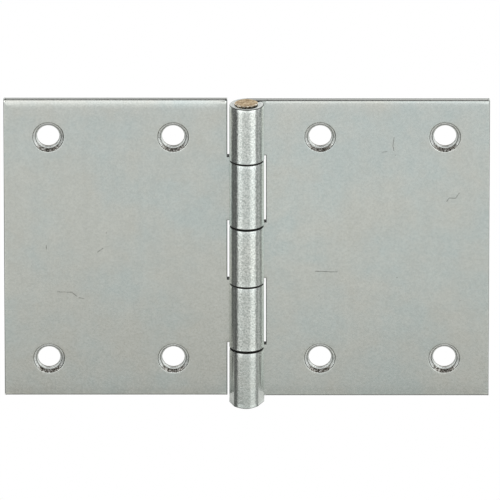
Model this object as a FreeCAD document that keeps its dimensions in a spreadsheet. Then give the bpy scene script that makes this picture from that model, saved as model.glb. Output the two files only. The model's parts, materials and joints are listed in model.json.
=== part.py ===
"""A broad butt hinge: two leaves of rolled sheet steel on one wire pin.

Millimetres. +Z is up along the pin, +X points to the right leaf, and -Y is the side that the barrel
stands out on. The origin is on the pin's axis, at half the height of the left leaf.

The knuckles are tabs of the two leaves, rolled round the pin: the right leaf has the top, middle and
bottom knuckles, and the left leaf has the upper and lower ones.
"""
import FreeCAD, Part
import math
import os
import Sketcher

DOC = FreeCAD.newDocument("door_hinge")
SIZES = DOC.addObject("Spreadsheet::Sheet", "sizes")
NEAR = 0.01        # millimetres, for finding an edge by where it is
LEAST_CUT = 0.05   # cubic millimetres, the least that a working cut or fillet takes away
Z_AXIS = FreeCAD.Vector(0, 0, 1)

# A sketch's numbers for the points of a curve and for its own axes. The start of the level axis
# is the sketch's origin.
START, END, CENTRE = 1, 2, 3
LEVEL_AXIS, UPRIGHT_AXIS = -1, -2

# alias, value in millimetres or degrees, what it is
DRIVING_DIMENSIONS = [
    ("leaf_height", 80.0, "height of a leaf along the pin"),
    ("leaf_reach", 61.5, "pin axis to the free edge of a leaf"),
    ("leaf_drop", 0.15, "how far the right leaf sits below the left one in the end play"),
    ("sheet_thickness", 2.0, "thickness of the sheet"),
    ("barrel_radius", 4.45, "outside radius of a rolled knuckle"),
    ("roll_gap", 0.35, "opening between the roll's end and its own leaf"),
    ("notch_reach", 5.05, "pin axis to the leaf's edge beside the other leaf's knuckle"),
    ("corner_radius", 0.45, "radius of a leaf's free corners"),
    ("top_knuckle", 14.8, "length of the top knuckle"),
    ("upper_knuckle", 17.3, "length of the upper knuckle"),
    ("middle_knuckle", 15.3, "length of the middle knuckle"),
    ("lower_knuckle", 17.2, "length of the lower knuckle"),
    ("bottom_knuckle", 15.1, "length of the bottom knuckle"),
    ("first_gap", 0.25, "end play below the top knuckle"),
    ("second_gap", 0.4, "end play below the upper knuckle"),
    ("third_gap", 0.25, "end play below the middle knuckle"),
    ("fourth_gap", 0.45, "end play below the lower knuckle"),
    ("hole_diameter", 5.7, "screw hole"),
    ("sink_diameter", 8.0, "countersink where it meets the front face"),
    ("sink_angle", 90.0, "included angle of the countersink"),
    ("near_column", 18.6, "pin axis to the nearer column of screw holes"),
    ("far_column", 50.2, "pin axis to the farther column of screw holes"),
    ("row_spacing", 60.0, "between the two rows of screw holes"),
    ("pin_clearance", 0.05, "radial clearance of the pin in the rolled bore"),
    ("head_radius", 3.0, "radius of the peened head"),
    ("head_rim", 0.15, "height of the head's straight rim"),
    ("head_height", 0.4, "height of the head above the top knuckle"),
    ("pin_recess", 1.0, "how far the pin ends inside the bottom knuckle"),
    ("pin_lead", 0.5, "chamfer on the pin's lower end"),
    ("crimp_offset", 2.85, "middle of the bottom knuckle to the bottom of a crimp groove"),
    ("crimp_floor", 3.1, "how far the bottom of a crimp groove stands in front of the pin's axis"),
    ("crimp_flare", 0.9, "half width of a crimp groove, level with the barrel's front"),
    ("overshoot", 1.0, "how far a cut runs past the edge that it opens"),
]


class Size:
    """A size from the sheet: the expression that binds it, and its number."""

    def __init__(self, text, number):
        self.text = text
        self.number = number

    def __add__(self, other):
        return Size(f"({self.text} + {other.text})", self.number + other.number)

    def __sub__(self, other):
        return Size(f"({self.text} - {other.text})", self.number - other.number)

    def __mul__(self, factor):
        return Size(f"({self.text} * {factor})", self.number * factor)


def fill_sheet():
    """Write the driving dimensions into the sheet and return them as sizes by alias."""
    sizes = {}
    for row, (alias, value, note) in enumerate(DRIVING_DIMENSIONS, start=1):
        SIZES.set(f"A{row}", alias)
        SIZES.set(f"B{row}", str(value))
        SIZES.setAlias(f"B{row}", alias)
        SIZES.set(f"C{row}", note)
        sizes[alias] = Size(f"sizes.{alias}", value)
    DOC.recompute()
    return sizes


size = fill_sheet()
bore_radius = size["barrel_radius"] - size["sheet_thickness"]

# Heights of the leaves and of the five knuckles, from the top down.
left_top = size["leaf_height"] * 0.5
left_bottom = size["leaf_height"] * -0.5
right_top = left_top - size["leaf_drop"]
right_bottom = left_bottom - size["leaf_drop"]
top_end = right_top - size["top_knuckle"]
upper_start = top_end - size["first_gap"]
upper_end = upper_start - size["upper_knuckle"]
middle_start = upper_end - size["second_gap"]
middle_end = middle_start - size["middle_knuckle"]
lower_start = middle_end - size["third_gap"]
lower_end = lower_start - size["lower_knuckle"]
bottom_start = lower_end - size["fourth_gap"]
bottom_end = bottom_start - size["bottom_knuckle"]


# ---------------------------------------------------------------- helpers

def point(x, y):
    return FreeCAD.Vector(x, y, 0.0)


def new_body(name):
    body = DOC.addObject("PartDesign::Body", name)
    body.Label = name
    body.Placement = FreeCAD.Placement()
    return body


def sketch_on(body, role, name, offset=None):
    """A sketch on one of the body's own origin planes, moved along its normal by a size."""
    plane = next(f for f in body.Origin.OriginFeatures if f.Role == role)
    sketch = body.newObject("Sketcher::SketchObject", name)
    sketch.AttachmentSupport = [(plane, "")]
    sketch.MapMode = "FlatFace"
    if offset is not None:
        sketch.setExpression(".AttachmentOffset.Base.z", offset.text)
    return sketch


def bind(sketch, name, kind, *where, to):
    """Add a dimension to the sketch and bind it to a size."""
    index = sketch.addConstraint(Sketcher.Constraint(kind, *where, to.number))
    sketch.renameConstraint(index, name)
    sketch.setExpression(f"Constraints.{name}", to.text)


def place(sketch, name, geometry, corner, x, y):
    """Fix a sketch point at two sizes from the sketch's origin, either of which may be negative."""
    for kind, letter, value in (("DistanceX", "x", x), ("DistanceY", "y", y)):
        bind(sketch, f"{name}_{letter}", kind, LEVEL_AXIS, START, geometry, corner, to=value)


def join(sketch, *pairs):
    """Make each pair of curve points (curve, point, curve, point) one point."""
    for pair in pairs:
        sketch.addConstraint(Sketcher.Constraint("Coincident", *pair))


def hold_on(sketch, axis, *points):
    """Keep each (curve, point) on an axis or a line of the sketch."""
    for curve, end in points:
        sketch.addConstraint(Sketcher.Constraint("PointOnObject", curve, end, axis))


def outline(sketch, corners):
    """A closed outline of straight lines through corners, each a pair of sizes."""
    points = [point(x.number, y.number) for x, y in corners]
    first = len(sketch.Geometry)
    count = len(points)
    for i in range(count):
        sketch.addGeometry(Part.LineSegment(points[i], points[(i + 1) % count]))
    for i, (x, y) in enumerate(corners):
        join(sketch, (first + i, END, first + (i + 1) % count, START))
        place(sketch, f"corner_{first + i}", first + i, START, x, y)


def must_remove(feature):
    """Recompute, and stop if the feature took nothing away from its body."""
    before = feature.BaseFeature.Shape.Volume
    DOC.recompute()
    removed = before - feature.Shape.Volume
    if removed < LEAST_CUT:
        raise RuntimeError(f"{feature.Label} removed only {removed:.3f} cubic millimetres")


# ---------------------------------------------------------------- leaves

def roll_sheet(body, side, bottom, top):
    """The flat sheet and its roll, as one section padded over the whole height.

    The section starts at the free edge, runs along the leaf's front to the bore, round the bore to
    the roll's end, back round the outside of the barrel, and along the leaf's back.
    """
    outer = size["barrel_radius"]
    inner = bore_radius
    reach = size["leaf_reach"] * side
    end_height = inner - size["roll_gap"]
    end_angle = math.asin(end_height.number / outer.number)
    sketch = sketch_on(body, "XY_Plane", body.Label + "_section", offset=bottom)

    if side > 0:
        start, stop = math.pi / 2, 2 * math.pi + end_angle
        tangent_point, roll_end = START, END
    else:
        start, stop = -math.pi - end_angle, math.pi / 2
        tangent_point, roll_end = END, START
    end_direction = point(side * math.cos(end_angle), math.sin(end_angle))
    front_edge = point(reach.number, inner.number)
    back_edge = point(reach.number, outer.number)

    front, bore, end_face, barrel, back, free_edge = range(6)
    sketch.addGeometry([
        Part.LineSegment(front_edge, point(0, inner.number)),
        Part.ArcOfCircle(Part.Circle(point(0, 0), Z_AXIS, inner.number), start, stop),
        Part.LineSegment(end_direction * inner.number, end_direction * outer.number),
        Part.ArcOfCircle(Part.Circle(point(0, 0), Z_AXIS, outer.number), start, stop),
        Part.LineSegment(point(0, outer.number), back_edge),
        Part.LineSegment(back_edge, front_edge),
    ])
    join(
        sketch,
        (front, END, bore, tangent_point),
        (bore, roll_end, end_face, START),
        (end_face, END, barrel, roll_end),
        (barrel, tangent_point, back, START),
        (back, END, free_edge, START),
        (free_edge, END, front, START),
        (bore, CENTRE, LEVEL_AXIS, START),
        (barrel, CENTRE, LEVEL_AXIS, START),
    )
    hold_on(sketch, UPRIGHT_AXIS, (bore, tangent_point), (barrel, tangent_point))
    hold_on(sketch, end_face, (LEVEL_AXIS, START))
    sketch.addConstraint(Sketcher.Constraint("Horizontal", front))
    sketch.addConstraint(Sketcher.Constraint("Horizontal", back))
    sketch.addConstraint(Sketcher.Constraint("Vertical", free_edge))
    bind(sketch, "outside_radius", "Radius", barrel, to=outer)
    bind(sketch, "bore_radius", "Radius", bore, to=inner)
    bind(sketch, "reach", "DistanceX", LEVEL_AXIS, START, free_edge, START, to=reach)
    bind(sketch, "roll_end_height", "DistanceY", LEVEL_AXIS, START, barrel, roll_end, to=end_height)

    pad = body.newObject("PartDesign::Pad", body.Label + "_sheet")
    pad.Profile = sketch
    pad.setExpression("Length", (top - bottom).text)
    DOC.recompute()


def cut_windows(body, side, windows):
    """Cut rectangles (inner x, outer x, lower z, upper z) right through the sheet and the roll."""
    sketch = sketch_on(body, "XZ_Plane", body.Label + "_windows")
    for near, far, low, high in windows:
        outline(sketch, [(near * side, low), (far * side, low), (far * side, high), (near * side, high)])
    pocket = body.newObject("PartDesign::Pocket", body.Label + "_notches")
    pocket.Profile = sketch
    pocket.Type = "ThroughAll"
    pocket.SideType = "Symmetric"
    must_remove(pocket)


def sink_holes(body, side):
    """Four countersunk screw holes, entered from the front face."""
    sketch = sketch_on(body, "XZ_Plane", body.Label + "_hole_centres", offset=bore_radius * -1)
    radius = size["hole_diameter"] * 0.5
    for column in ("near_column", "far_column"):
        for row in (-1, 1):
            x = size[column] * side
            z = size["row_spacing"] * (0.5 * row)
            circle = Part.Circle(point(x.number, z.number), Z_AXIS, radius.number)
            index = sketch.addGeometry(circle)
            bind(sketch, f"hole_{index}_radius", "Radius", index, to=radius)
            place(sketch, f"hole_{index}", index, CENTRE, x, z)
    DOC.recompute()
    hole = body.newObject("PartDesign::Hole", body.Label + "_screw_holes")
    hole.Profile = sketch
    hole.ThreadType = "None"
    hole.DepthType = "ThroughAll"
    hole.HoleCutType = "Countersink"
    hole.HoleCutCustomValues = True
    hole.setExpression("Diameter", "sizes.hole_diameter")
    hole.setExpression("HoleCutDiameter", "sizes.sink_diameter")
    hole.setExpression("HoleCutCountersinkAngle", "sizes.sink_angle")
    must_remove(hole)


def round_corners(body, side):
    """Round the two free corners of a leaf, as seen from its front."""
    sheet = body.Tip
    reach = size["leaf_reach"].number * side
    corners = []
    for number, edge in enumerate(sheet.Shape.Edges, start=1):
        through_sheet = abs(edge.tangentAt(edge.FirstParameter).y) > 1 - NEAR
        if through_sheet and abs(edge.Vertexes[0].X - reach) < NEAR:
            corners.append(f"Edge{number}")
    fillet = body.newObject("PartDesign::Fillet", body.Label + "_corners")
    fillet.Base = (sheet, corners)
    fillet.setExpression("Radius", "sizes.corner_radius")
    must_remove(fillet)


def make_leaf(name, side, bottom, top, windows):
    """One leaf: rolled sheet, notches for the other leaf's knuckles, screw holes, round corners."""
    body = new_body(name)
    roll_sheet(body, side, bottom, top)
    cut_windows(body, side, windows)
    sink_holes(body, side)
    round_corners(body, side)
    return body


def crimp_bottom_knuckle(body):
    """Two upright grooves in the bottom knuckle's front, where it is squeezed onto the pin."""
    sketch = sketch_on(body, "XY_Plane", "crimp_section", offset=bottom_end)
    offset = size["crimp_offset"]
    flare = size["crimp_flare"]
    front = size["barrel_radius"] * -1
    for side in (-1, 1):
        tip = (offset * side, size["crimp_floor"] * -1)
        outline(sketch, [((offset - flare) * side, front), ((offset + flare) * side, front), tip])
    pocket = body.newObject("PartDesign::Pocket", "crimp_grooves")
    pocket.Profile = sketch
    pocket.Reversed = True
    pocket.setExpression("Length", size["bottom_knuckle"].text)
    must_remove(pocket)


def make_right_leaf():
    """Top, middle and bottom knuckles. The bottom knuckle stands out below the leaf."""
    past = size["overshoot"]
    across = size["barrel_radius"] * -1 - past
    notch = size["notch_reach"]
    windows = [
        (across, notch, middle_start, top_end),
        (across, notch, bottom_start, middle_end),
        (size["barrel_radius"], size["leaf_reach"] + past, bottom_end - past, right_bottom),
    ]
    body = make_leaf("right_leaf", 1, bottom_end, right_top, windows)
    crimp_bottom_knuckle(body)
    return body


def make_left_leaf():
    """Upper and lower knuckles."""
    past = size["overshoot"]
    across = size["barrel_radius"] * -1 - past
    notch = size["notch_reach"]
    windows = [
        (across, notch, upper_start, left_top + past),
        (across, notch, lower_start, upper_end),
        (across, notch, left_bottom - past, lower_end),
    ]
    return make_leaf("left_leaf", -1, left_bottom, left_top, windows)


# ---------------------------------------------------------------- pin

def make_pin():
    """A wire pin, turned about its axis: chamfered lower end, straight shaft, peened and domed head."""
    shaft = bore_radius - size["pin_clearance"]
    lead = size["pin_lead"]
    head = size["head_radius"]
    lower_end = bottom_end + size["pin_recess"]
    rim_top = right_top + size["head_rim"]
    crown = right_top + size["head_height"]
    rise = (crown - rim_top).number
    dome_radius = (head.number ** 2 + rise ** 2) / (2 * rise)
    dome_circle = Part.Circle(point(0, crown.number - dome_radius), Z_AXIS, dome_radius)
    rim_angle = math.acos(head.number / dome_radius)

    body = new_body("hinge_pin")
    sketch = sketch_on(body, "XZ_Plane", "pin_section")
    corners = [
        (shaft - lead, lower_end),
        (shaft, lower_end + lead),
        (shaft, right_top),
        (head, right_top),
        (head, rim_top),
    ]
    points = [point(0, lower_end.number)] + [point(x.number, z.number) for x, z in corners]
    for start, stop in zip(points, points[1:]):
        line = sketch.addGeometry(Part.LineSegment(start, stop))
        place(sketch, f"corner_{line}", line, END, *corners[line])
    dome = sketch.addGeometry(Part.ArcOfCircle(dome_circle, rim_angle, math.pi / 2))
    middle = sketch.addGeometry(Part.LineSegment(point(0, crown.number), points[0]))
    join(sketch, *[(line, END, line + 1, START) for line in range(dome)])
    join(sketch, (dome, END, middle, START), (middle, END, 0, START))
    hold_on(sketch, UPRIGHT_AXIS, (dome, CENTRE), (middle, START), (middle, END))
    bind(sketch, "lower_end", "DistanceY", LEVEL_AXIS, START, middle, END, to=lower_end)
    bind(sketch, "crown", "DistanceY", LEVEL_AXIS, START, middle, START, to=crown)

    turning = body.newObject("PartDesign::Revolution", "pin_turning")
    turning.Profile = sketch
    turning.ReferenceAxis = (sketch, ["V_Axis"])
    turning.Angle = 360.0
    DOC.recompute()
    return body


# ---------------------------------------------------------------- hand over

def check_document():
    """Stop if any object failed to compute."""
    DOC.recompute()
    for item in DOC.Objects:
        if "Invalid" in item.State or "Error" in item.State:
            raise RuntimeError(f"{item.Label} is {item.State}")


def write_parts(bodies):
    """Check each body's shape and write it as one STEP file named after the body."""
    os.makedirs("parts", exist_ok=True)
    for body in bodies:
        shape = body.Shape
        if shape.isNull() or not shape.isValid() or len(shape.Solids) != 1:
            raise RuntimeError(f"{body.Label} is not one valid solid")
        shape.exportStep(f"parts/{body.Label}.step")
        box = shape.BoundBox
        print(f"{body.Label}: {shape.Volume:.1f} mm3, x {box.XMin:.2f} to {box.XMax:.2f}, "
              f"y {box.YMin:.2f} to {box.YMax:.2f}, z {box.ZMin:.2f} to {box.ZMax:.2f}")


parts = [make_right_leaf(), make_left_leaf(), make_pin()]
check_document()
write_parts(parts)
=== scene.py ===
"""The looks of the butt hinge: sheet leaves with rolled knuckles, and the peened wire pin.

Each leaf is made the way the real one is: a flat blank with sunk holes and notches, its cut edges
rounded over, then rolled round the pin. Blank coordinates are u, along the leaf from the pin's axis
(negative inside the roll), v, up the pin, and w, through the sheet from the front face to the back.
"""
import json
import math

import bmesh
import bpy
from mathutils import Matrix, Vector, noise
from mathutils.bvhtree import BVHTree


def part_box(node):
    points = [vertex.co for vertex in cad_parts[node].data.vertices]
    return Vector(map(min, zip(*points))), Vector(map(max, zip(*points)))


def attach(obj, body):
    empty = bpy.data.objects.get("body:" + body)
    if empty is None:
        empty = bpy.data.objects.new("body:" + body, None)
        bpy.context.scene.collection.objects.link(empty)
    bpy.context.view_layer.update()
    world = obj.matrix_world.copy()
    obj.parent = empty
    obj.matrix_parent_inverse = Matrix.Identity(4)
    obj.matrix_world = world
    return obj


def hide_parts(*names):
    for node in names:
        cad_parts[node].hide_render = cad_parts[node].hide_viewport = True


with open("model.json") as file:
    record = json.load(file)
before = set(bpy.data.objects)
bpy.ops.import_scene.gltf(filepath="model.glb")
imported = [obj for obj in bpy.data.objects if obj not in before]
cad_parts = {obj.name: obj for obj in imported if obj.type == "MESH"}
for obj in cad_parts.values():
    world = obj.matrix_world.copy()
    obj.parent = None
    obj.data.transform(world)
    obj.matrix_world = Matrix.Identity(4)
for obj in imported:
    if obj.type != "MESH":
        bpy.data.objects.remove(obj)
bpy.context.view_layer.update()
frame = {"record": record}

MM = 0.001
TINY = 1e-7      # two places closer than this are the same

# ---------------------------------------------------------------- sizes
# From the frame: outside sizes, heights and screw holes. The rest are the hinge's own sizes.

LEFT_LOW, LEFT_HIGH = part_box("left_leaf")
RIGHT_LOW, RIGHT_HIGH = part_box("right_leaf")
PIN_LOW, PIN_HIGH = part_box("hinge_pin")
MOUNTS = {mount["name"]: mount for mount in frame["record"]["mounts"]}
SCREWS = MOUNTS["right_leaf_screws"]

BARREL_RADIUS = RIGHT_HIGH[1]
LEAF_REACH = RIGHT_HIGH[0]
SHEET = 2.0 * MM
BORE_RADIUS = BARREL_RADIUS - SHEET
NOTCH_REACH = 4.9 * MM      # pin's axis to the leaf's edge beside the other leaf's knuckle
ROLL_GAP = 0.35 * MM        # opening between the roll's end and its own leaf
ROLL_ANGLE = 1.5 * math.pi + math.asin((BORE_RADIUS - ROLL_GAP) / BARREL_RADIUS)
MIDDLE_RADIUS = BARREL_RADIUS - SHEET / 2
LEAF_HEIGHT = LEFT_HIGH[2] - LEFT_LOW[2]

HOLE_RADIUS = SCREWS["dims"]["hole_r_mm"] * MM
SINK_RADIUS = 4.0 * MM
COLUMNS = [SCREWS["pos_m"][0] + sign * SCREWS["dims"]["spacing_x_mm"] * MM / 2 for sign in (-1, 1)]
ROWS = [sign * SCREWS["dims"]["spacing_y_mm"] * MM / 2 for sign in (-1, 1)]

# Knuckle lengths and the end play below each, from the top down.
KNUCKLES = [(14.8, 0.25), (17.3, 0.4), (15.3, 0.25), (17.2, 0.45), (15.1, 0.0)]


def knuckle_spans():
    """(lowest, highest) height of each knuckle, from the top down."""
    spans = []
    top = RIGHT_HIGH[2]
    for length, play in KNUCKLES:
        bottom = top - length * MM
        spans.append((bottom, top))
        top = bottom - play * MM
    return spans


SPANS = knuckle_spans()
CRIMPED = SPANS[4]          # the bottom knuckle
NEAR = 0.01 * MM            # slack when asking which side of an edge a point is on


def as_object(name, work, materials):
    """A Blender object with that name, made from a bmesh, with those materials in its slots."""
    mesh = bpy.data.meshes.new(name)
    work.to_mesh(mesh)
    work.free()
    for material in materials:
        mesh.materials.append(material)
    made = bpy.data.objects.new(name, mesh)
    bpy.context.scene.collection.objects.link(made)
    return made


# ---------------------------------------------------------------- blank

PATCH_HALF = 6.0 * MM       # half side of the square of mesh round a hole
PATCH_STEPS = 8             # mesh steps in each eighth of a turn round a hole
NEAREST_LINES = 0.28 * MM   # optional grid lines stay this far from the others
GRID_STEP = 1.6 * MM
ROLL_STEP = math.radians(1.8) * MIDDLE_RADIUS
EDGE_LINES = (0.28 * MM, 0.48 * MM, 0.72 * MM)            # grid lines inside every edge of the outline
END_LINES = EDGE_LINES + (1.1 * MM, 1.6 * MM, 2.4 * MM)   # and inside the ends of leaves and knuckles


def grid_lines(fixed, optional, step):
    """Sorted grid lines: the fixed ones, the optional ones that leave room, and none over step apart."""
    lines = sorted(fixed)
    for place in optional:
        if all(abs(place - line) > NEAREST_LINES for line in lines):
            lines.append(place)
    lines.sort()
    filled = [lines[0]]
    for start, stop in zip(lines, lines[1:]):
        width = step(0.5 * (start + stop))
        count = max(1, math.ceil((stop - start) / width - 1e-6))
        filled += [start + (stop - start) * k / count for k in range(1, count + 1)]
    return filled


def without_twins(lines):
    """Sorted lines, with one kept of any that lie closer together than a thousandth of a millimetre."""
    kept = []
    for line in sorted(lines):
        if not kept or line - kept[-1] > 0.001 * MM:
            kept.append(line)
    return kept


def patch_lines(centres):
    """Lines that cross each hole's square at even angles, as seen from the hole's centre."""
    lines = []
    for centre in centres:
        for k in range(-PATCH_STEPS, PATCH_STEPS + 1):
            lines.append(centre + PATCH_HALF * math.tan(math.pi / 4 * k / PATCH_STEPS))
    return lines


def hole_profile():
    """(radius, depth) from the front face, down the countersink and the hole, to the back face."""
    floor = SINK_RADIUS - HOLE_RADIUS
    return [
        # the flat face round it, and the rounded rim
        (SINK_RADIUS + 0.75 * MM, 0.0),
        (SINK_RADIUS + 0.2 * MM, 0.0),
        (SINK_RADIUS + 0.07 * MM, 0.005 * MM),
        (SINK_RADIUS, 0.03 * MM),
        (SINK_RADIUS - 0.06 * MM, 0.08 * MM),
        # the cone
        (SINK_RADIUS - 0.35 * floor, 0.35 * floor),
        (HOLE_RADIUS + 0.42 * MM, floor - 0.42 * MM),
        # the bead that the countersink pushes up round the hole
        (HOLE_RADIUS + 0.36 * MM, floor - 0.32 * MM),
        (HOLE_RADIUS + 0.24 * MM, floor - 0.3 * MM),
        (HOLE_RADIUS + 0.1 * MM, floor - 0.26 * MM),
        (HOLE_RADIUS + 0.02 * MM, floor - 0.14 * MM),
        # the hole's side, and the back face round it
        (HOLE_RADIUS, floor + 0.06 * MM),
        (HOLE_RADIUS, 1.6 * MM),
        (HOLE_RADIUS, 1.94 * MM),
        (HOLE_RADIUS + 0.05 * MM, SHEET),
        (HOLE_RADIUS + 1.2 * MM, SHEET),
    ]


SINK_TOP = 0.02 * MM       # depths where the countersink's cone starts and stops
SINK_FLOOR = SINK_RADIUS - HOLE_RADIUS - 0.1 * MM
PLATED, CUT_EDGE, INNER_EDGE, SINK, HOLE_SIDE = range(5)   # material indices of a leaf


class Blank:
    """A flat blank in u, v, w, meshed on a grid with a round patch at each hole.

    Its tabs, which become the knuckles, are given as (lowest, highest) heights.
    """

    def __init__(self, tabs, leaf_low, leaf_high):
        self.mesh = bmesh.new()
        self.tabs = tabs
        self.leaf = (leaf_low, leaf_high)
        roll_end = -MIDDLE_RADIUS * ROLL_ANGLE
        edges_u = [roll_end, 0.0, BARREL_RADIUS, NOTCH_REACH, LEAF_REACH]
        edges_u += [c + s * PATCH_HALF for c in COLUMNS for s in (-1, 1)]
        edges_u += [LEAF_REACH - inside for inside in EDGE_LINES]
        edges_u += [NOTCH_REACH + inside for inside in EDGE_LINES]
        edges_v = [height for tab in tabs for height in tab] + list(self.leaf)
        edges_v += [c + s * PATCH_HALF for c in ROWS for s in (-1, 1)]
        for low, high in tabs + [self.leaf]:
            edges_v += [low + inside for inside in END_LINES]
            edges_v += [high - inside for inside in END_LINES]
        edges_v = without_twins(edges_v)
        self.us = grid_lines(edges_u, patch_lines(COLUMNS), lambda u: ROLL_STEP if u < 0 else GRID_STEP)
        self.vs = grid_lines(edges_v, patch_lines(ROWS), lambda v: GRID_STEP)
        self.points = {}

    def centre(self, i, j):
        """The middle of grid cell i, j, as (u, v)."""
        return 0.5 * (self.us[i] + self.us[i + 1]), 0.5 * (self.vs[j] + self.vs[j + 1])

    def has_sheet(self, i, j):
        """True if the outline takes in grid cell i, j."""
        if not (0 <= i < len(self.us) - 1 and 0 <= j < len(self.vs) - 1):
            return False
        u, v = self.centre(i, j)
        in_leaf = self.leaf[0] < v < self.leaf[1]
        if u > NOTCH_REACH:
            return in_leaf
        in_tab = any(low < v < high for low, high in self.tabs)
        return in_tab and (in_leaf or u < BARREL_RADIUS)

    def in_patch(self, i, j):
        """True if grid cell i, j is in the square round a hole."""
        u, v = self.centre(i, j)
        near_u = any(abs(u - c) < PATCH_HALF for c in COLUMNS)
        near_v = any(abs(v - c) < PATCH_HALF for c in ROWS)
        return near_u and near_v

    def point(self, i, j, back):
        """The mesh point at a corner of the grid, on the front or the back face."""
        key = (i, j, back)
        if key not in self.points:
            self.points[key] = self.mesh.verts.new((self.us[i], self.vs[j], SHEET if back else 0.0))
        return self.points[key]

    def face(self, corners, material):
        """One smooth face of that material."""
        made = self.mesh.faces.new(corners)
        made.material_index = material
        made.smooth = True

    def add_cells(self):
        """Front and back faces, and a wall wherever a cell has no neighbour."""
        # for each side of a cell: the step to the neighbour, and the wall's two corners
        sides = [((0, -1), (0, 0), (1, 0)), ((1, 0), (1, 0), (1, 1)),
                 ((0, 1), (1, 1), (0, 1)), ((-1, 0), (0, 1), (0, 0))]
        for i in range(len(self.us) - 1):
            for j in range(len(self.vs) - 1):
                if self.in_patch(i, j) or not self.has_sheet(i, j):
                    continue
                ring = [(i, j), (i + 1, j), (i + 1, j + 1), (i, j + 1)]
                for back in (False, True):
                    self.face([self.point(a, b, back) for a, b in ring], PLATED)
                for (di, dj), start, stop in sides:
                    if self.has_sheet(i + di, j + dj):
                        continue
                    ends = [(i + start[0], j + start[1]), (i + stop[0], j + stop[1])]
                    corners = [self.point(*ends[0], False), self.point(*ends[1], False),
                               self.point(*ends[1], True), self.point(*ends[0], True)]
                    self.face(corners, self.wall_material(i, j, dj))

    def wall_material(self, i, j, up):
        """Painted shade in a notch, between knuckles and at the roll's end; plated at the barrel's two
        ends.
        """
        u, _ = self.centre(i, j)
        if u > NOTCH_REACH + EDGE_LINES[0]:
            return CUT_EDGE
        at_end = (up > 0 and j == len(self.vs) - 2) or (up < 0 and j == 0)
        if not at_end:
            return INNER_EDGE
        return PLATED if u < 0 else CUT_EDGE

    def add_hole(self, centre_u, centre_v):
        """Rings of faces from the front square, down the countersink and the hole, to the back."""
        across = [i for i, u in enumerate(self.us) if abs(u - centre_u) < PATCH_HALF + TINY]
        up = [j for j, v in enumerate(self.vs) if abs(v - centre_v) < PATCH_HALF + TINY]
        square = [(i, up[0]) for i in across[:-1]] + [(across[-1], j) for j in up[:-1]]
        square += [(i, up[-1]) for i in across[:0:-1]] + [(across[0], j) for j in up[:0:-1]]
        rings = [[self.point(i, j, False) for i, j in square]]
        angles = [math.atan2(self.vs[j] - centre_v, self.us[i] - centre_u) for i, j in square]
        for radius, depth in hole_profile():
            rings.append([self.mesh.verts.new((centre_u + radius * math.cos(angle),
                                               centre_v + radius * math.sin(angle), depth))
                          for angle in angles])
        rings.append([self.point(i, j, True) for i, j in square])
        for outer, inner in zip(rings, rings[1:]):
            depth = 0.5 * (outer[0].co.z + inner[0].co.z)
            material = PLATED
            if SINK_TOP < depth < SINK_FLOOR:
                material = SINK
            elif SINK_FLOOR < depth < SHEET - NEAR:
                material = HOLE_SIDE
            for k in range(len(square)):
                n = (k + 1) % len(square)
                self.face([outer[k], outer[n], inner[n], inner[k]], material)

    def outline_edges(self, depth):
        """The edges of the outline at that depth, where a wall meets the front or the back face."""
        found = []
        for edge in self.mesh.edges:
            level = all(abs(vert.co.z - depth) <= TINY for vert in edge.verts)
            if not level or len(edge.link_faces) != 2:
                continue
            walls = [abs(face.normal.z) < 0.1 for face in edge.link_faces]
            if walls.count(True) == 1:
                found.append(edge)
        return found

    def round_off(self, edges, width, segments):
        """Bevel those edges, keeping each face's material."""
        bmesh.ops.bevel(self.mesh, geom=edges, offset=width, offset_type="OFFSET", segments=segments,
                        profile=0.5, affect="EDGES", clamp_overlap=False, material=-1)
        self.mesh.normal_update()


FREE_CORNER = 0.45 * MM      # radius of a leaf's free corners, seen from the front
FRONT_ROUNDING = 0.17 * MM   # bevels along the outline, at the front and the back face
BACK_ROUNDING = 0.17 * MM

# Shearing draws the front face down beside an edge: a short steep droop, and a long shallow crown.
DROOP_DEPTH = 0.17 * MM
DROOP_WIDTH = 0.75 * MM
CROWN_DEPTH = 0.1 * MM
CROWN_WIDTH = 3.2 * MM

# Shares of the droop's and the crown's depth at each edge. Those by side are for -1, left, and 1, right.
TOP_SHARES = {-1: (1.0, 2.8), 1: (0.35, 1.4)}
FREE_END_SHARES = {-1: (0.45, 0.0), 1: (0.08, 0.0)}
BOTTOM_SHARES = (0.0, 0.8)
NOTCH_SHARES = (0.15, 0.0)


def outline_walls(mesh):
    """A search tree of the blank's upright walls, the holes' left out."""
    walls = [face for face in mesh.faces if face.material_index in (CUT_EDGE, INNER_EDGE)]
    points = [vert.co.copy() for face in walls for vert in face.verts]
    polygons = []
    for face in walls:
        start = polygons[-1][-1] + 1 if polygons else 0
        polygons.append(list(range(start, start + len(face.verts))))
    return BVHTree.FromPolygons(points, polygons)


def edge_shares(place, outward, side):
    """Shares of the droop and the crown at that place on a wall, whose normal is outward."""
    if place.x < NOTCH_REACH + NEAR:
        return NOTCH_SHARES
    if outward.y < -0.5:
        return BOTTOM_SHARES
    if outward.y < 0.5:
        return FREE_END_SHARES[side]
    return TOP_SHARES[side]


def draw_down(mesh, walls, side):
    """Droop the front face towards the edges that were sheared from the front."""
    deepest = SHEET / 4
    for vert in mesh.verts:
        u, v, w = vert.co
        if u < 0 or w > deepest:
            continue
        place, outward, _, distance = walls.find_nearest(Vector((u, v, SHEET / 2)))
        if distance is None or distance > CROWN_WIDTH:
            continue
        droop, crown = edge_shares(place, outward, side)
        steep = max(0.0, 1 - distance / DROOP_WIDTH) ** 1.6
        shallow = (1 - distance / CROWN_WIDTH) ** 2
        down = droop * DROOP_DEPTH * steep + crown * CROWN_DEPTH * shallow
        vert.co.z += down * (1 - w / deepest)


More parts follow.
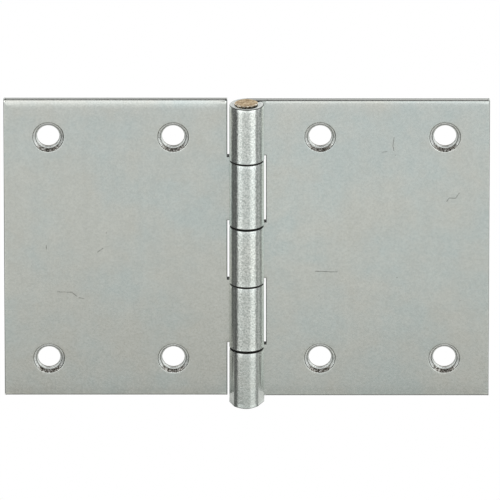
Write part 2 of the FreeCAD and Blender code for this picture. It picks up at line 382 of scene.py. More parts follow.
def make_blank(tabs, leaf_low, leaf_high, side):
    """The whole flat blank of one leaf, with its outline rounded over."""
    blank = Blank(tabs, leaf_low, leaf_high)
    blank.add_cells()
    for u in COLUMNS:
        for v in ROWS:
            blank.add_hole(u, v)
    bmesh.ops.recalc_face_normals(blank.mesh, faces=blank.mesh.faces)
    corners = []
    for edge in blank.mesh.edges:
        a, b = (vert.co for vert in edge.verts)
        through = abs(a.z - b.z) > SHEET / 2
        at_end = abs(a.x - LEAF_REACH) < TINY and min(abs(a.y - height) for height in blank.leaf) < TINY
        if through and at_end:
            corners.append(edge)
    blank.round_off(corners, FREE_CORNER, 5)
    walls = outline_walls(blank.mesh)
    blank.round_off(blank.outline_edges(0.0), FRONT_ROUNDING, 2)
    blank.round_off(blank.outline_edges(SHEET), BACK_ROUNDING, 3)
    depth = blank.mesh.verts.layers.float.new("depth")
    for vert in blank.mesh.verts:
        vert[depth] = vert.co.z / MM
    darken_roundings(blank.mesh, side)
    draw_down(blank.mesh, walls, side)
    return blank.mesh


# painted shade: from here the barrel's top rim takes the inner edge's dark material
DARK_RIM = -MIDDLE_RADIUS * math.radians(235)   # the barrel's rim is all dark from here to the roll's end


def darken_roundings(mesh, side):
    """Darken roundings: the leaf's lower rim and its front roundings take a cut face's dark bands, and
    the roundings that face down, lie in a notch or edge the barrel's top take the inner edge's painted
    shade.
    """
    leaf_low = min(vert.co.y for vert in mesh.verts if vert.co.x > NOTCH_REACH + MM)
    for face in mesh.faces:
        normal = face.normal
        middle = face.calc_center_median()
        if face.material_index != PLATED or in_sink(middle):
            continue
        if middle.x > NOTCH_REACH and middle.z < SHEET / 4 and middle.y < leaf_low + EDGE_LINES[0]:
            face.material_index = CUT_EDGE
        elif not 0.1 < abs(normal.z) < 0.97:
            continue
        # painted shade on the barrel's top rim, in the notches and on roundings that face down
        elif middle.x < 0 and middle.y > RIGHT_HIGH[2] - 0.5 * MM:
            if normal.y < 0.9 or middle.x < DARK_RIM:
                face.material_index = INNER_EDGE
        elif middle.x < NOTCH_REACH + NEAR or normal.y < -0.3:
            face.material_index = INNER_EDGE
        elif normal.z < 0 and (normal.y < 0.3 or side > 0):
            face.material_index = CUT_EDGE


def in_sink(place):
    """True on and close round a screw hole, whose rim is left undarkened."""
    return any(math.hypot(place.x - u, place.y - v) < SINK_RADIUS + MM for u in COLUMNS for v in ROWS)


# ---------------------------------------------------------------- rolling

def smooth_step(low, high, value):
    """0 below low, 1 above high, and a smooth rise between."""
    x = min(1.0, max(0.0, (value - low) / (high - low)))
    return x * x * (3 - 2 * x)


# The crimp presses a flat into each side of the bottom knuckle. The flats widen downwards.
# For each side: azimuth of the crease, azimuth that the flat faces, and its depth at the top.
LEFT_FLAT = (math.radians(-47), math.radians(-69), 0.09 * MM)
RIGHT_FLAT = (math.radians(41), math.radians(61), 0.13 * MM)


def crimp(azimuth, height):
    """How far the bottom knuckle's outside is pressed in (negative), and how burnished it is there, which
    also lightens the flats as a painted highlight.
    """
    low, high = CRIMPED
    down = (high - height) / (high - low)
    crease, facing, shallow = LEFT_FLAT if azimuth < 0 else RIGHT_FLAT
    if abs(azimuth) < abs(crease):
        return 0.0, 0.0
    distance = BARREL_RADIUS * math.cos(facing - crease)
    away = min(math.radians(80), abs(azimuth - facing))
    flat = max(0.0, BARREL_RADIUS - distance / math.cos(away))
    deepest = shallow + (BARREL_RADIUS - distance - shallow) * smooth_step(0.0, 0.8, down)
    pressed = min(flat, deepest) * smooth_step(0.0, 0.04, down)
    # burnish, partly a painted highlight that lightens the pressed flats
    burnish_highlight = smooth_step(0.0, 0.03 * MM, pressed) * (0.6 if flat <= deepest else 0.2)
    return -pressed, burnish_highlight


END_FLARE = 0.05 * MM     # how far a knuckle's lower end flares
END_DROOP = 0.13 * MM     # and how far its upper end is drawn in
END_WIDTH = 1.3 * MM


def end_shape(v, tab):
    """How far a knuckle's outside stands in or out near its ends, measured from its nominal radius."""
    low, high = tab
    flare = END_FLARE * max(0.0, 1 - (v - low) / END_WIDTH) ** 2
    droop = END_DROOP * max(0.0, 1 - (high - v) / END_WIDTH) ** 2
    return flare - droop - END_FLARE


END_LIFT = (0.25 * MM, 0.6 * MM)   # how far the crimped end rises towards its left and its right


def roll(u, v, w, tab):
    """The place on a right leaf of a point of the blank in that tab, and its burnish, which also carries
    a painted highlight.
    """
    if u >= 0:
        return Vector((u, BORE_RADIUS + w, v)), 0.0
    turn = -u / MIDDLE_RADIUS
    angle = math.pi / 2 + turn
    outside = (w / SHEET) ** 2
    radius = BORE_RADIUS + w
    height = v
    burnish_highlight = 0.0
    if tab is not None:
        radius += end_shape(v, tab) * outside * smooth_step(0.0, 0.5, turn)
    if tab == CRIMPED:
        azimuth = turn - math.pi
        pressed, burnish_highlight = crimp(azimuth, v)
        radius += pressed * outside
        low, high = CRIMPED
        lift = 1 - smooth_step(0.0, 0.45, (v - low) / (high - low))
        height += END_LIFT[azimuth > 0] * abs(math.sin(azimuth)) ** 1.2 * lift
    return Vector((radius * math.cos(angle), radius * math.sin(angle), height)), burnish_highlight * outside


def make_leaf(name, node, body, side, tabs, low, high, materials):
    """One leaf, rolled, in place, riding its body and standing for its CAD node."""
    work = make_blank(tabs, low, high, side)
    burnished_highlight = work.verts.layers.float.new("burnish_highlight")
    grainy = work.verts.layers.float.new("grainy")
    for vert in work.verts:
        u, v, w = vert.co
        tab = next((tab for tab in tabs if tab[0] - NEAR <= v <= tab[1] + NEAR), None)
        place, vert[burnished_highlight] = roll(u, v, w, tab)
        most = 0.5 if tab == CRIMPED else 1.0
        vert[grainy] = most * smooth_step(0.0, 0.4, -u / MIDDLE_RADIUS)
        vert.co = (side * place.x, place.y, place.z)
    if side < 0:
        bmesh.ops.reverse_faces(work, faces=work.faces)
    bmesh.ops.recalc_face_normals(work, faces=work.faces)
    leaf = as_object(name, work, materials)
    normals = leaf.modifiers.new("weighted_normals", "WEIGHTED_NORMAL")
    normals.keep_sharp = False
    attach(leaf, body)
    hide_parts(node)


# ---------------------------------------------------------------- pin

PIN_RADIUS = BORE_RADIUS - 0.05 * MM
HEAD_RADIUS = PIN_HIGH[0]
HEAD_TOP = PIN_HIGH[2]
HEAD_SEAT = RIGHT_HIGH[2]
PIN_STEPS = 128
HEAD_SHIFT = -0.12 * MM     # the head was hammered a little to the left
HEAD_LEAN = 0.4             # share of its height that the head loses at its left end
UNDERCUT = 0.26 * MM        # height of the head's shaded wall, under its rim
BRASS, UNDER_HEAD = range(2)   # material indices of the pin

# The hammer's marks on the head, as (marks in a millimetre, depth), and the rags round its rim,
# as (rags in a radian, depth).
HAMMER_MARKS = [(0.9, 0.1 * MM), (2.3, 0.06 * MM)]
RIM_RAGS = [(2.2, 0.13 * MM), (7.0, 0.09 * MM)]


def pin_profile():
    """(radius, height) of the pin, from the middle of its lower end to the middle of its head."""
    low = PIN_LOW[2]
    seat = HEAD_SEAT - 0.1 * MM
    profile = [(0.0, low), (1.2 * MM, low), (PIN_RADIUS - 0.55 * MM, low),
               (PIN_RADIUS - 0.45 * MM, low + 0.03 * MM), (PIN_RADIUS - 0.04 * MM, low + 0.44 * MM),
               (PIN_RADIUS, low + 0.55 * MM)]
    profile += [(PIN_RADIUS, low + (seat - low) * k / 12) for k in range(1, 13)]
    profile += [(HEAD_RADIUS - 0.24 * MM, HEAD_SEAT + 0.02 * MM),
                (HEAD_RADIUS - 0.2 * MM, HEAD_SEAT + 0.12 * MM),
                (HEAD_RADIUS - 0.1 * MM, HEAD_SEAT + UNDERCUT),
                (HEAD_RADIUS, HEAD_SEAT + 0.31 * MM),
                (HEAD_RADIUS, HEAD_SEAT + 0.34 * MM),
                (HEAD_RADIUS - 0.05 * MM, HEAD_SEAT + 0.38 * MM)]
    rim = HEAD_RADIUS - 0.12 * MM
    profile += [(rim * (1 - k / 16), HEAD_TOP) for k in range(17)]
    return profile


def hammered(place):
    """The peened head's surface: flats left by the hammer, a ragged rim, and a lower left side."""
    if place.z < HEAD_SEAT:
        return place
    moved = place.copy()
    radius = math.hypot(place.x, place.y)
    if place.z > HEAD_SEAT + UNDERCUT:
        around = Vector((place.x, place.y, 0.0)) / MM
        for order, (marks, depth) in enumerate(HAMMER_MARKS):
            moved.z -= abs(noise.noise(around * marks + order * Vector((3, 1, 0)))) * depth
    if radius > 0.7 * HEAD_RADIUS:
        angle = math.atan2(place.y, place.x)
        ragged = -0.04 * MM
        for order, (rags, depth) in enumerate(RIM_RAGS):
            round_rim = Vector((rags * math.cos(angle), rags * math.sin(angle), 5.0 + 4.0 * order))
            ragged += noise.noise(round_rim) * depth
        scale = min(1.0, (radius + ragged) / HEAD_RADIUS) * HEAD_RADIUS / radius
        moved.x *= scale
        moved.y *= scale
    lean = 1 - HEAD_LEAN * max(0.0, -place.x / HEAD_RADIUS)
    moved.z = HEAD_SEAT + (moved.z - HEAD_SEAT) * lean
    moved.x += HEAD_SHIFT
    return moved


def make_pin(materials):
    """The pin, turned and hammered, riding with the right leaf and standing for its CAD node."""
    work = bmesh.new()
    profile = pin_profile()
    rings = []
    for radius, height in profile:
        if radius < TINY:
            rings.append([work.verts.new(hammered(Vector((0, 0, height))))])
            continue
        ring = []
        for k in range(PIN_STEPS):
            turn = 2 * math.pi * k / PIN_STEPS
            place = Vector((radius * math.cos(turn), radius * math.sin(turn), height))
            ring.append(work.verts.new(hammered(place)))
        rings.append(ring)
    for step in range(len(rings) - 1):
        lower, upper = rings[step], rings[step + 1]
        height = (profile[step][1] + profile[step + 1][1]) / 2 - HEAD_SEAT
        for k in range(PIN_STEPS):
            n = (k + 1) % PIN_STEPS
            if len(lower) == 1:
                face = work.faces.new((lower[0], upper[n], upper[k]))
            elif len(upper) == 1:
                face = work.faces.new((lower[k], lower[n], upper[0]))
            else:
                face = work.faces.new((lower[k], lower[n], upper[n], upper[k]))
            face.smooth = True
            middle = face.calc_center_median() / MM
            ragged = 0.05 * noise.noise(Vector((2.5 * middle.x, 2.5 * middle.y, 0.0)))
            face.material_index = UNDER_HEAD if 0 < height < UNDERCUT + (0.04 + ragged) * MM else BRASS
    bmesh.ops.recalc_face_normals(work, faces=work.faces)
    pin = as_object("peened_pin", work, materials)
    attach(pin, "fixed_leaf")
    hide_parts("hinge_pin")


# ---------------------------------------------------------------- materials

class Shader:
    """A material's node tree, with short calls for the nodes that the metals are made of."""

    def __init__(self, name):
        self.material = bpy.data.materials.new(name)
        self.material.use_nodes = True
        self.tree = self.material.node_tree
        self.nodes = self.tree.nodes
        self.surface = self.nodes["Principled BSDF"]
        self.place = self.nodes.new("ShaderNodeTexCoord").outputs["Object"]

    def link(self, source, target):
        """Feed a socket from another node's output, or set it to a plain value."""
        if hasattr(source, "is_output"):
            self.tree.links.new(source, target)
        else:
            target.default_value = source

    def stretched(self, stretch):
        """The object's own coordinates, in metres, scaled by (x, y, z)."""
        node = self.nodes.new("ShaderNodeMapping")
        self.link(self.place, node.inputs["Vector"])
        node.inputs["Scale"].default_value = stretch
        return node.outputs["Vector"]

    def noise(self, size, detail=3.0, roughness=0.55, stretch=(1, 1, 1)):
        """Noise from 0 to 1 whose blotches are about size metres across."""
        node = self.nodes.new("ShaderNodeTexNoise")
        self.link(self.stretched(stretch), node.inputs["Vector"])
        node.inputs["Scale"].default_value = 1 / size
        node.inputs["Detail"].default_value = detail
        node.inputs["Roughness"].default_value = roughness
        return node.outputs["Fac"]

    def upward(self):
        """1 where the surface faces straight up, -1 where it faces straight down."""
        geometry = self.nodes.new("ShaderNodeNewGeometry")
        apart = self.nodes.new("ShaderNodeSeparateXYZ")
        self.link(geometry.outputs["Normal"], apart.inputs["Vector"])
        return apart.outputs["Z"]

    def along(self, axis):
        """The point's place along that axis, in metres."""
        apart = self.nodes.new("ShaderNodeSeparateXYZ")
        self.link(self.place, apart.inputs["Vector"])
        return apart.outputs[axis]

    def attribute(self, name):
        """A number kept on the mesh's points."""
        node = self.nodes.new("ShaderNodeAttribute")
        node.attribute_name = name
        return node.outputs["Fac"]

    def math(self, operation, first, second=0.0):
        """The result of one Math node."""
        node = self.nodes.new("ShaderNodeMath")
        node.operation = operation
        self.link(first, node.inputs[0])
        self.link(second, node.inputs[1])
        return node.outputs[0]

    def fit(self, value, low, high, start=0.0, stop=1.0):
        """Value from low..high to start..stop, held at both ends."""
        node = self.nodes.new("ShaderNodeMapRange")
        self.link(value, node.inputs["Value"])
        node.inputs["From Min"].default_value = low
        node.inputs["From Max"].default_value = high
        node.inputs["To Min"].default_value = start
        node.inputs["To Max"].default_value = stop
        return node.outputs["Result"]

    def ramp(self, value, *stops):
        """Colours along value: each stop is (place, (red, green, blue))."""
        node = self.nodes.new("ShaderNodeValToRGB")
        self.link(value, node.inputs["Fac"])
        elements = node.color_ramp.elements
        while len(elements) < len(stops):
            elements.new(0.5)
        for element, (place, colour) in zip(elements, stops):
            element.position = place
            element.color = (*colour, 1.0)
        return node.outputs["Color"]

    def mix(self, amount, first, second, kind="MIX"):
        """Two colours mixed: amount 0 gives the first, and 1 the second, or their product."""
        node = self.nodes.new("ShaderNodeMix")
        node.data_type = "RGBA"
        node.blend_type = kind
        self.link(amount, node.inputs["Factor"])
        for colour, socket in ((first, node.inputs["A"]), (second, node.inputs["B"])):
            self.link(colour if hasattr(colour, "is_output") else (*colour, 1.0), socket)
        return node.outputs["Result"]

    def bump(self, height, depth, below=None):
        """A bump depth metres deep where height goes from 0 to 1, over an earlier bump."""
        node = self.nodes.new("ShaderNodeBump")
        node.inputs["Distance"].default_value = depth
        self.link(height, node.inputs["Height"])
        if below is not None:
            self.link(below, node.inputs["Normal"])
        return node.outputs["Normal"]


# Hairline marks on the leaves' fronts, as (x, z) points in millimetres.
SCRATCHES = [
    [(-48.0, -11.9), (-44.4, -12.0), (-43.1, -13.1)], [(-42.6, -13.5), (-41.3, -13.7)],
    [(-37.8, -1.1), (-36.5, -0.1)], [(-50.8, 0.7), (-50.8, -0.3)],
    [(37.3, 29.9), (37.0, 27.8), (37.2, 26.4)], [(34.3, 26.0), (35.5, 26.1)],
    [(50.7, 12.7), (51.3, 13.6), (52.9, 13.5), (53.8, 14.9)], [(17.3, -6.3), (22.9, -6.5)],
]
SPECKS = [(-35.6, 4.1), (37.7, 25.2), (38.1, -8.0), (54.1, -14.3)]
SPECK_HALF = (0.08, 0.05)   # from a speck's middle to its end
SCRATCH_WIDTH = 0.14


def near_line(shader, x, z, start, stop):
    """1 on the line from start to stop, falling to 0 a scratch's width away. All in millimetres."""
    run = (stop[0] - start[0], stop[1] - start[1])
    length = math.hypot(*run)
    across = shader.math("SUBTRACT", x, start[0])
    up = shader.math("SUBTRACT", z, start[1])
    along = shader.math("ADD", shader.math("MULTIPLY", across, run[0] / length),
                        shader.math("MULTIPLY", up, run[1] / length))
    offset = shader.math("SUBTRACT", shader.math("MULTIPLY", across, run[1] / length),
                         shader.math("MULTIPLY", up, run[0] / length))
    aside = shader.math("ABSOLUTE", offset)
    beyond = shader.math("MAXIMUM", shader.math("SUBTRACT", along, length),
                         shader.math("MULTIPLY", along, -1.0))
    away = shader.math("MAXIMUM", aside, beyond)
    return shader.fit(away, 0.3 * SCRATCH_WIDTH, SCRATCH_WIDTH, 1.0, 0.0)


def scratched(shader):
    """1 on the scratches and specks of the leaves' fronts, 0 elsewhere."""
    apart = shader.nodes.new("ShaderNodeSeparateXYZ")
    shader.link(shader.place, apart.inputs["Vector"])
    x = shader.math("MULTIPLY", apart.outputs["X"], 1 / MM)
    z = shader.math("MULTIPLY", apart.outputs["Z"], 1 / MM)
    lines = [pair for points in SCRATCHES for pair in zip(points, points[1:])]
    half_x, half_z = SPECK_HALF
    lines += [((px - half_x, pz - half_z), (px + half_x, pz + half_z)) for px, pz in SPECKS]
    mask = 0.0
    for start, stop in lines:
        mask = shader.math("MAXIMUM", mask, near_line(shader, x, z, start, stop))
    in_front = shader.fit(apart.outputs["Y"], BORE_RADIUS, BORE_RADIUS + 0.3 * MM, 1.0, 0.0)
    return shader.math("MULTIPLY", mask, in_front)


def zinc_plate():
    """Blue-passivated zinc: satin, with faint warm and cool clouds, grainier where it is rolled, lighter
    on the crimp's flats as burnish and painted highlight, and painted shading a little lighter just right
    of the middle.
    """
    shader = Shader("zinc_plate")
    surface = shader.surface
    across = shader.along("X")
    drift = shader.fit(across, -LEAF_REACH, LEAF_REACH, 0.05, -0.05)
    cloud = shader.math("ADD", shader.noise(16 * MM, detail=4, roughness=0.6), drift)
    blotch = shader.noise(4.5 * MM, detail=4, roughness=0.65)
    streak = shader.noise(2.2 * MM, detail=4, stretch=(1, 1, 0.12))
    grain = shader.noise(0.45 * MM, detail=3, roughness=0.8)
    marks = scratched(shader)
    cool, plain, warm = (0.545, 0.602, 0.59), (0.578, 0.60, 0.57), (0.605, 0.60, 0.552)
    tint = shader.ramp(cloud, (0.38, cool), (0.5, plain), (0.62, warm))
    blotched = shader.mix(shader.fit(blotch, 0.3, 0.7, 0.0, 0.5), tint,
                          shader.ramp(blotch, (0.42, (0.55, 0.585, 0.575)), (0.6, (0.63, 0.645, 0.615))))
    streaked = shader.mix(shader.fit(streak, 0.35, 0.65, 0.0, 0.12), blotched, (0.47, 0.49, 0.47))
    grainy = shader.attribute("grainy")
    grained = shader.mix(shader.fit(grainy, 0.0, 1.0, 0.2, 0.72), streaked,
                         shader.ramp(grain, (0.4, (0.44, 0.47, 0.45)), (0.6, (0.8, 0.82, 0.79))))
    worn = shader.math("MULTIPLY", marks, shader.fit(grain, 0.42, 0.6, 1.0, 0.45))
    marked = shader.mix(worn, grained, (0.2, 0.2, 0.19))
    # burnish on the crimp's flats, lightened as a painted highlight
    burnished_highlight = shader.mix(shader.attribute("burnish_highlight"), marked, (0.8, 0.83, 0.81))
    # painted shading: the plate a little darker at the far left and lighter just right of the middle
    from_left = shader.fit(across, -LEAF_REACH, LEAF_REACH)
    shade = shader.ramp(from_left, (0.0, (0.99,) * 3), (0.45, (1.0,) * 3), (0.55, (1.045,) * 3),
                        (1.0, (1.01,) * 3))
    shader.link(shader.mix(1.0, burnished_highlight, shade, kind="MULTIPLY"), surface.inputs["Base Color"])
    surface.inputs["Metallic"].default_value = 1.0
    shader.link(shader.fit(streak, 0.3, 0.7, 0.16, 0.22), surface.inputs["Roughness"])
    waves = shader.bump(shader.noise(5 * MM, detail=2), 0.007 * MM)
    deeper = shader.fit(grainy, 0.0, 1.0, 0.22, 1.0)
    dimples = shader.math("MULTIPLY", shader.noise(0.9 * MM, detail=3, roughness=0.65), deeper)
    peel = shader.bump(dimples, 0.045 * MM, below=waves)
    fine = shader.bump(grain, 0.012 * MM, below=peel)
    shader.link(fine, surface.inputs["Normal"])
    return shader.material


def sheared_edge():
    """The sheared edge: a painted dark reflection along the rounding where the cut starts, then smooth,
    then torn and dark at the back.
    """
    shader = Shader("sheared_edge")
    surface = shader.surface
    torn = shader.noise(0.3 * MM, detail=4, roughness=0.7)
    depth = shader.math("ADD", shader.attribute("depth"), shader.fit(torn, 0.2, 0.8, -0.12, 0.12))
    dark, grey = (0.16, 0.165, 0.155), (0.46, 0.475, 0.45)
    through = shader.fit(depth, 0.0, SHEET / MM)
    # painted reflection: the first dark band stands for the dark ceiling mirrored in the front rounding
    bands = shader.ramp(through, (0.0, dark), (0.18, dark), (0.28, grey), (0.74, grey), (0.84, dark),
                        (1.0, (0.2, 0.2, 0.19)))
    colour = shader.mix(shader.fit(torn, 0.35, 0.7, 0.0, 0.35), bands, (0.6, 0.6, 0.57))
    shader.link(colour, surface.inputs["Base Color"])
    surface.inputs["Metallic"].default_value = 1.0
    surface.inputs["Roughness"].default_value = 0.4
    shader.link(shader.bump(torn, 0.02 * MM), surface.inputs["Normal"])
    return shader.material


def shaded_inner_edge():
    """Cut faces between the knuckles and in the notches: near-black painted shade for these gaps, over
    thin plating and oil.
    """
    shader = Shader("shaded_inner_edge")
    surface = shader.surface
    torn = shader.noise(0.25 * MM, detail=4, roughness=0.7)
    # painted shade: near-black speckled colour for the shade between the knuckles and in the notches
    shade_and_grime = shader.ramp(torn, (0.3, (0.025, 0.026, 0.024)), (0.75, (0.12, 0.122, 0.115)))
    shader.link(shade_and_grime, surface.inputs["Base Color"])
    surface.inputs["Metallic"].default_value = 0.7
    surface.inputs["Specular IOR Level"].default_value = 0.15
    surface.inputs["Roughness"].default_value = 0.6
    shader.link(shader.bump(torn, 0.03 * MM), surface.inputs["Normal"])
    return shader.material


def sunk_cone():
    """The countersinks: a dark burr round the rim, painted shade in the groove by the bead round the
    hole, and a painted dark reflection with bright glints where the cone faces up.
    """
    shader = Shader("sunk_cone")
    surface = shader.surface
    torn = shader.noise(0.45 * MM, detail=4, roughness=0.75)
    depth = shader.attribute("depth")
    burr, light = (0.12, 0.12, 0.11), (0.86, 0.88, 0.86)
    crease, bead = (0.2, 0.2, 0.19), (0.62, 0.64, 0.62)
    down = shader.fit(depth, 0.0, SINK_FLOOR / MM + 0.1)
    # painted shade: the crease colour darkens the groove between the cone and the bead
    rings = shader.ramp(down, (0.0, burr), (0.13, burr), (0.2, light), (0.54, (0.8, 0.82, 0.8)),
                        (0.6, crease), (0.7, crease), (0.76, bead))
    # painted reflection: dark and brown speckles with white glints, for the dark ceiling mirrored where
    # the cone faces up
    shade_speckle = shader.ramp(torn, (0.4, (0.04, 0.036, 0.03)), (0.5, (0.24, 0.22, 0.19)),
                       (0.62, (0.95, 0.95, 0.92)))
    facing_up = shader.fit(shader.upward(), 0.35, 0.55)
    on_cone = shader.fit(depth, 0.82, 0.74)
    with_painted_reflection = shader.mix(shader.math("MULTIPLY", facing_up, on_cone), rings, shade_speckle)
    shader.link(with_painted_reflection, surface.inputs["Base Color"])
    surface.inputs["Metallic"].default_value = 1.0
    shader.link(shader.fit(torn, 0.3, 0.7, 0.35, 0.5), surface.inputs["Roughness"])
    shader.link(shader.bump(torn, 0.06 * MM), surface.inputs["Normal"])
    return shader.material


def hole_side():
    """Thinly plated steel inside the screw holes, brownish and burred, and kept dark as painted shade
    inside the hole.
    """
    shader = Shader("hole_side")
    surface = shader.surface
    burr = shader.noise(0.3 * MM, detail=4, roughness=0.7)
    # partly painted shade: the dark brownish colour also stands for the shade inside the hole
    rough = shader.ramp(burr, (0.35, (0.1, 0.09, 0.07)), (0.6, (0.28, 0.26, 0.22)),
                        (0.75, (0.5, 0.49, 0.44)))
    lip = shader.fit(shader.attribute("depth"), SINK_FLOOR / MM + 0.35, SINK_FLOOR / MM + 0.2)
    shader.link(shader.mix(lip, rough, (0.75, 0.77, 0.75)), surface.inputs["Base Color"])
    surface.inputs["Metallic"].default_value = 0.95
    surface.inputs["Roughness"].default_value = 0.45
    shader.link(shader.bump(burr, 0.04 * MM), surface.inputs["Normal"])
    return shader.material


def brass_wire():
    """Brass-coloured wire: hammered dull at the head, with dark specks, and burred at the front rim, with
    pale painted glints on the burrs.
    """
    shader = Shader("brass_wire")
    surface = shader.surface
    dents = shader.noise(1.0 * MM, detail=3)
    specks = shader.noise(0.35 * MM, detail=3, roughness=0.75)
    colour = shader.ramp(dents, (0.35, (0.5, 0.36, 0.2)), (0.5, (0.63, 0.46, 0.26)),
                         (0.65, (0.82, 0.67, 0.44)))
    pale = shader.mix(shader.fit(specks, 0.4, 0.3, 0.0, 0.7), colour, (1.0, 0.95, 0.8))
    speckled = shader.mix(shader.fit(specks, 0.56, 0.68, 0.0, 0.75), pale, (0.22, 0.14, 0.07))
    across, through = shader.along("X"), shader.along("Y")
    squares = shader.math("ADD", shader.math("MULTIPLY", across, across),
                          shader.math("MULTIPLY", through, through))
    rim = shader.fit(shader.math("SQRT", squares), 0.72 * HEAD_RADIUS, 0.88 * HEAD_RADIUS)
    front = shader.fit(through, 0.2 * MM, -0.9 * MM, 0.0, 0.95)
    # painted highlight: pale glints among the dark flakes, only on the front of the head's rim
    flakes_and_glints = shader.ramp(shader.noise(0.55 * MM, detail=3, roughness=0.7), (0.4, (0.1, 0.07, 0.04)),
                         (0.47, (0.55, 0.4, 0.22)), (0.54, (1.0, 0.96, 0.84)))
    burred_with_glints = shader.mix(shader.math("MULTIPLY", rim, front), speckled, flakes_and_glints)
    shader.link(burred_with_glints, surface.inputs["Base Color"])
    surface.inputs["Metallic"].default_value = 1.0
    surface.inputs["Roughness"].default_value = 0.42
    rough = shader.bump(dents, 0.07 * MM)
    shader.link(shader.bump(specks, 0.05 * MM, below=rough), surface.inputs["Normal"])
    return shader.material


def shadow_under_head():
    """The wall under the hammered rim, painted near-black as the rim's cast shadow, with painted glints
    on burrs on the left.
    """
    shader = Shader("shadow_under_head")
    surface = shader.surface
    shade_speckle = shader.noise(0.4 * MM, detail=3)
    # painted shadow: the wall's near-black colour stands for the shadow under the rim
    dark = shader.ramp(shade_speckle, (0.35, (0.012, 0.01, 0.007)), (0.75, (0.09, 0.07, 0.045)))
    # painted highlight: pale glints on the burrs at the left
    burr_glints = shader.math("MULTIPLY", shader.fit(shader.noise(0.5 * MM, detail=2), 0.5, 0.56),
                        shader.fit(shader.along("X"), 0.6 * MM, -0.4 * MM))
    shader.link(shader.mix(burr_glints, dark, (0.95, 0.82, 0.6)), surface.inputs["Base Color"])
    surface.inputs["Metallic"].default_value = 0.3
    surface.inputs["Roughness"].default_value = 0.6
    shader.link(shader.bump(shade_speckle, 0.02 * MM), surface.inputs["Normal"])
    return shader.material


# ---------------------------------------------------------------- light, floor and camera

VIEW_RISE = math.radians(21.0)   # how far above level the camera looks down from
TENT_RADIUS = 350 * MM
TENT_TOP = 450 * MM
TENT_BOTTOM = -650 * MM
BAND_HIGH = -90 * MM    # heights on the tent's wall that the two columns of TENT_BANDS are for
BAND_LOW = -205 * MM
EMISSION = 3.0          # strength of the tent's light where its colour is 1

# Brightness of the tent's wall by azimuth in degrees, higher up and lower down.
# Azimuth 0 is in front and 90 on the right: two soft boxes, dark cards beside them, paler panels behind.
TENT_BANDS = [
    (-180, 0.6, 0.5), (-160, 0.8, 0.6), (-150, 1.4, 0.75), (-144, 1.5, 0.75),
    (-139, 0.03, 0.75), (-130, 0.03, 0.6), (-125, 0.03, 0.03), (-116, 0.03, 0.03),
    (-111, 0.4, 0.38), (-103, 0.4, 0.38), (-97, 0.26, 0.22), (-91, 0.3, 0.26),
    (-86, 0.12, 0.12), (-68, 0.12, 0.12), (-61, 0.4, 0.3),
    (-57, 1.5, 0.3), (-36, 1.5, 0.15), (-24, 0.92, 0.48), (22, 0.92, 0.5),
    (27, 1.55, 0.65), (58, 1.55, 0.7), (63, 0.43, 0.35), (78, 0.42, 0.38),
    (85, 0.66, 0.58), (94, 0.66, 0.58),
    (98, 0.13, 0.1), (107, 0.13, 0.1), (113, 1.25, 0.5), (150, 1.3, 0.45), (180, 0.6, 0.5),
]

# Colour that the wall's light is multiplied by, from the tent's bottom at 0 to its top at 1.
TENT_FADE = [
    (0.0, (0.3, 0.3, 0.29)), (0.2, (0.6, 0.6, 0.58)), (0.33, (1.0, 1.0, 0.98)), (0.37, (1.0, 1.0, 0.96)),
    (0.42, (0.96, 0.96, 0.92)), (0.455, (1.12, 1.13, 1.1)), (0.475, (1.02, 1.05, 1.03)),
    (0.5, (0.9, 0.92, 0.91)), (0.545, (0.82, 0.84, 0.84)), (0.6, (1.3, 1.33, 1.33)),
    (0.82, (1.55, 1.55, 1.55)), (0.87, (0.4, 0.4, 0.4)), (1.0, (0.15, 0.15, 0.15)),
]
TABLE_HIGH = -225 * MM  # below these heights the wall turns to the pale table's even light
TABLE_LOW = -270 * MM
TABLE_LIGHT = (0.95, 0.95, 0.92)


def tent_light():
    """Emission that follows TENT_BANDS round the wall and TENT_FADE up it, and is pale below."""
    shader = Shader("tent_light")
    apart = shader.nodes.new("ShaderNodeSeparateXYZ")
    shader.link(shader.place, apart.inputs["Vector"])
    behind = shader.math("MULTIPLY", apart.outputs["Y"], -1.0)
    around = shader.fit(shader.math("ARCTAN2", apart.outputs["X"], behind), -math.pi, math.pi)
    columns = []
    for column in (1, 2):
        stops = [((band[0] + 180) / 360, (band[column] / EMISSION,) * 3) for band in TENT_BANDS]
        columns.append(shader.ramp(around, *stops))
    height = apart.outputs["Z"]
    bands = shader.mix(shader.fit(height, BAND_HIGH, BAND_LOW), *columns)
    table = [part / EMISSION for part in TABLE_LIGHT]
    with_table = shader.mix(shader.fit(height, TABLE_HIGH, TABLE_LOW), bands, table)
    fade = shader.ramp(shader.fit(height, TENT_BOTTOM, TENT_TOP), *TENT_FADE)
    glow = shader.nodes.new("ShaderNodeEmission")
    glow.inputs["Strength"].default_value = EMISSION
    shader.link(shader.mix(1.0, with_table, fade, kind="MULTIPLY"), glow.inputs["Color"])
    shader.nodes.remove(shader.surface)
    shader.link(glow.outputs["Emission"], shader.nodes["Material Output"].inputs["Surface"])
    return shader.material


def make_tent():
    """A light tent round the hinge that only reflections and soft light see."""
    work = bmesh.new()
    steps = 96
    rings = [[work.verts.new((TENT_RADIUS * math.sin(2 * math.pi * k / steps),
                              -TENT_RADIUS * math.cos(2 * math.pi * k / steps), height))
              for k in range(steps)] for height in (TENT_BOTTOM, TENT_TOP)]
    for k in range(steps):
        n = (k + 1) % steps
        work.faces.new((rings[0][k], rings[0][n], rings[1][n], rings[1][k]))
    tent = as_object("light_tent", work, [tent_light()])
    tent.visible_camera = False
    tent.visible_shadow = False


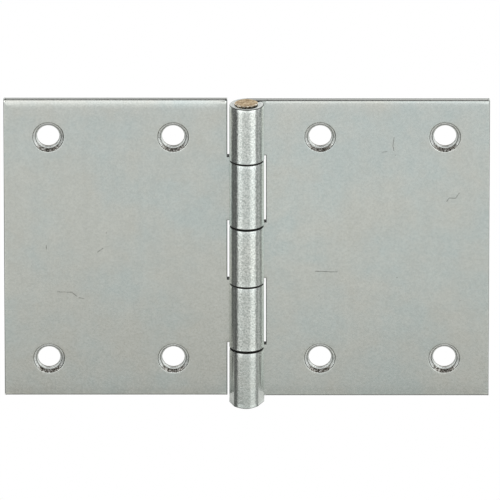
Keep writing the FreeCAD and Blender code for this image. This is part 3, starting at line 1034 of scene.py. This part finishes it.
def make_world():
    """A room dim above the tent and light below it, and a white backdrop behind everything."""
    world = bpy.data.worlds.new("studio")
    bpy.context.scene.world = world
    world.use_nodes = True
    tree = world.node_tree
    direction = tree.nodes.new("ShaderNodeTexCoord")
    apart = tree.nodes.new("ShaderNodeSeparateXYZ")
    tree.links.new(direction.outputs["Generated"], apart.inputs["Vector"])
    strength = tree.nodes.new("ShaderNodeMapRange")
    for name, value in (("From Min", -0.5), ("From Max", 0.0), ("To Min", 0.9), ("To Max", 0.2)):
        strength.inputs[name].default_value = value
    tree.links.new(apart.outputs["Z"], strength.inputs["Value"])
    room = tree.nodes["Background"]
    room.inputs["Color"].default_value = (1.0, 1.0, 1.0, 1.0)
    tree.links.new(strength.outputs["Result"], room.inputs["Strength"])
    backdrop = tree.nodes.new("ShaderNodeBackground")
    backdrop.inputs["Color"].default_value = (1.0, 1.0, 1.0, 1.0)
    seen = tree.nodes.new("ShaderNodeLightPath")
    choose = tree.nodes.new("ShaderNodeMixShader")
    tree.links.new(seen.outputs["Is Camera Ray"], choose.inputs[0])
    tree.links.new(room.outputs["Background"], choose.inputs[1])
    tree.links.new(backdrop.outputs["Background"], choose.inputs[2])
    tree.links.new(choose.outputs["Shader"], tree.nodes["World Output"].inputs["Surface"])


FLOOR_SIDE = 600 * MM
FLOOR_DROP = 160 * MM    # how far the floor lies below the hinge


def make_floor():
    """A plain white floor well below the hinge, bright enough to lose its shadows."""
    bpy.ops.mesh.primitive_plane_add(size=FLOOR_SIDE, location=(0, 0, RIGHT_LOW[2] - FLOOR_DROP))
    floor = bpy.context.object
    floor.name = "floor"
    shader = Shader("white_floor")
    shader.surface.inputs["Base Color"].default_value = (0.9, 0.9, 0.9, 1.0)
    shader.surface.inputs["Roughness"].default_value = 0.9
    shader.surface.inputs["Emission Color"].default_value = (1.0, 1.0, 1.0, 1.0)
    shader.surface.inputs["Emission Strength"].default_value = 1.0
    floor.data.materials.append(shader.material)
    floor.visible_glossy = False


FRAME_WIDTH = 126.7 * MM    # what the picture takes in at the pin
AIM_RIGHT = 0.84 * MM       # the picture's middle, from the pin's middle
AIM_UP = 0.39 * MM


def make_camera():
    """A very long lens, close to a parallel view, a little to the right of the pin."""
    data = bpy.data.cameras.new("camera")
    data.lens = 1250
    data.sensor_width = 36
    up = Vector((0, math.sin(VIEW_RISE), math.cos(VIEW_RISE)))
    back = Vector((0, -math.cos(VIEW_RISE), math.sin(VIEW_RISE)))
    target = Vector((AIM_RIGHT, 0, 0)) + up * AIM_UP
    camera = bpy.data.objects.new("camera", data)
    camera.location = target + back * (FRAME_WIDTH * data.lens / data.sensor_width)
    camera.rotation_mode = "QUATERNION"
    camera.rotation_quaternion = (-back).to_track_quat("-Z", "Y")
    data.clip_start = 0.1
    data.clip_end = 60
    bpy.context.scene.collection.objects.link(camera)
    bpy.context.scene.camera = camera


# ---------------------------------------------------------------- the scene

leaf_materials = [zinc_plate(), sheared_edge(), shaded_inner_edge(), sunk_cone(), hole_side()]
make_leaf("rolled_right_leaf", "right_leaf", "fixed_leaf", 1, [SPANS[4], SPANS[2], SPANS[0]],
          RIGHT_HIGH[2] - LEAF_HEIGHT, RIGHT_HIGH[2], leaf_materials)
make_leaf("rolled_left_leaf", "left_leaf", "swing_leaf", -1, [SPANS[3], SPANS[1]],
          LEFT_LOW[2], LEFT_HIGH[2], leaf_materials)
make_pin([brass_wire(), shadow_under_head()])
make_world()
make_tent()
make_floor()
make_camera()
bpy.context.scene.view_settings.view_transform = "Standard"
